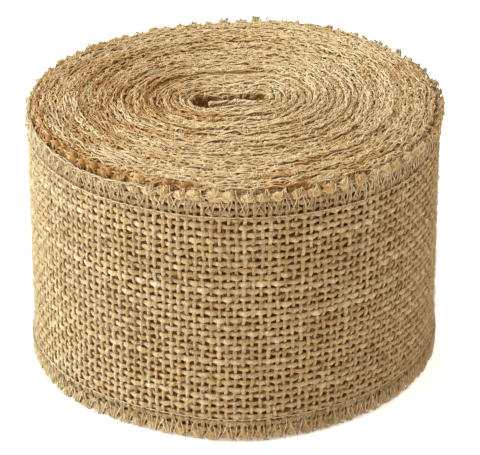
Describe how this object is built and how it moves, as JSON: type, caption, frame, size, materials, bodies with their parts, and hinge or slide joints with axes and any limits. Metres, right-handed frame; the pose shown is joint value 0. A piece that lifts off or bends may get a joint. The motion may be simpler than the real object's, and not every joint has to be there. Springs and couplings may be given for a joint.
{
  "type": "ribbon roll",
  "caption": "Coreless roll of loosely woven jute ribbon with overlocked edges, standing on edge; its outer end peels off the roll and its inner end lies folded in the eye.",
  "frame": {"origin": "centre of the resting edge, the bottom of the roll", "axes": "+Z along the ribbon's width, up; -Y to the front; +X to the right, along the eye"},
  "size_m": [0.117, 0.1176, 0.0762],
  "materials": {
    "jute_web": "loose plain weave of natural jute yarn, matt and hairy",
    "overlock_thread": "pale spun thread, matt"
  },
  "bodies": {
    "roll": {"roll_web": "jute_web", "roll_top_needle_thread": "overlock_thread", "roll_top_upper_looper": "overlock_thread", "roll_top_lower_looper": "overlock_thread", "roll_bottom_needle_thread": "overlock_thread", "roll_bottom_upper_looper": "overlock_thread", "roll_bottom_lower_looper": "overlock_thread"},
    "inner_end": {"inner_end_web": "jute_web", "inner_end_top_needle_thread": "overlock_thread", "inner_end_top_upper_looper": "overlock_thread", "inner_end_top_lower_looper": "overlock_thread", "inner_end_bottom_needle_thread": "overlock_thread", "inner_end_bottom_upper_looper": "overlock_thread", "inner_end_bottom_lower_looper": "overlock_thread"},
    "free_end_1": {"free_end_1_web": "jute_web", "free_end_1_top_needle_thread": "overlock_thread", "free_end_1_top_upper_looper": "overlock_thread", "free_end_1_top_lower_looper": "overlock_thread", "free_end_1_bottom_needle_thread": "overlock_thread", "free_end_1_bottom_upper_looper": "overlock_thread", "free_end_1_bottom_lower_looper": "overlock_thread"},
    "free_end_2": {"free_end_2_web": "jute_web", "free_end_2_top_needle_thread": "overlock_thread", "free_end_2_top_upper_looper": "overlock_thread", "free_end_2_top_lower_looper": "overlock_thread", "free_end_2_bottom_needle_thread": "overlock_thread", "free_end_2_bottom_upper_looper": "overlock_thread", "free_end_2_bottom_lower_looper": "overlock_thread"},
    "free_end_3": {"free_end_3_web": "jute_web", "free_end_3_top_needle_thread": "overlock_thread", "free_end_3_top_upper_looper": "overlock_thread", "free_end_3_top_lower_looper": "overlock_thread", "free_end_3_bottom_needle_thread": "overlock_thread", "free_end_3_bottom_upper_looper": "overlock_thread", "free_end_3_bottom_lower_looper": "overlock_thread"},
    "free_end_4": {"free_end_4_web": "jute_web", "free_end_4_top_needle_thread": "overlock_thread", "free_end_4_top_upper_looper": "overlock_thread", "free_end_4_top_lower_looper": "overlock_thread", "free_end_4_bottom_needle_thread": "overlock_thread", "free_end_4_bottom_upper_looper": "overlock_thread", "free_end_4_bottom_lower_looper": "overlock_thread"},
    "free_end_5": {"free_end_5_web": "jute_web", "free_end_5_top_needle_thread": "overlock_thread", "free_end_5_top_upper_looper": "overlock_thread", "free_end_5_top_lower_looper": "overlock_thread", "free_end_5_bottom_needle_thread": "overlock_thread", "free_end_5_bottom_upper_looper": "overlock_thread", "free_end_5_bottom_lower_looper": "overlock_thread"}
  },
  "joints": [
    {"name": "free_end_bend_1", "type": "hinge", "parent": "roll", "child": "free_end_1", "pos_m": [0.05774, 0.00939, 0.0381], "axis": [0, 0, -1], "range_deg": [0, 15]},
    {"name": "free_end_bend_2", "type": "hinge", "parent": "free_end_1", "child": "free_end_2", "pos_m": [0.05337, 0.02416, 0.0381], "axis": [0, 0, -1], "range_deg": [0, 15]},
    {"name": "free_end_bend_3", "type": "hinge", "parent": "free_end_2", "child": "free_end_3", "pos_m": [0.04532, 0.03729, 0.0381], "axis": [0, 0, -1], "range_deg": [0, 15]},
    {"name": "free_end_bend_4", "type": "hinge", "parent": "free_end_3", "child": "free_end_4", "pos_m": [0.03415, 0.04789, 0.0381], "axis": [0, 0, -1], "range_deg": [0, 15]},
    {"name": "free_end_bend_5", "type": "hinge", "parent": "free_end_4", "child": "free_end_5", "pos_m": [0.02061, 0.05524, 0.0381], "axis": [0, 0, -1], "range_deg": [0, 15]},
    {"name": "inner_end_swing", "type": "hinge", "parent": "roll", "child": "inner_end", "pos_m": [0.00657, -0.00347, 0.0381], "axis": [0, 0, -1], "range_deg": [-4, 12]}
  ],
  "couplings": [
    {"joint": "free_end_bend_2", "follows": "free_end_bend_1", "ratio": 1},
    {"joint": "free_end_bend_3", "follows": "free_end_bend_1", "ratio": 1},
    {"joint": "free_end_bend_4", "follows": "free_end_bend_1", "ratio": 1},
    {"joint": "free_end_bend_5", "follows": "free_end_bend_1", "ratio": 1}
  ]
}
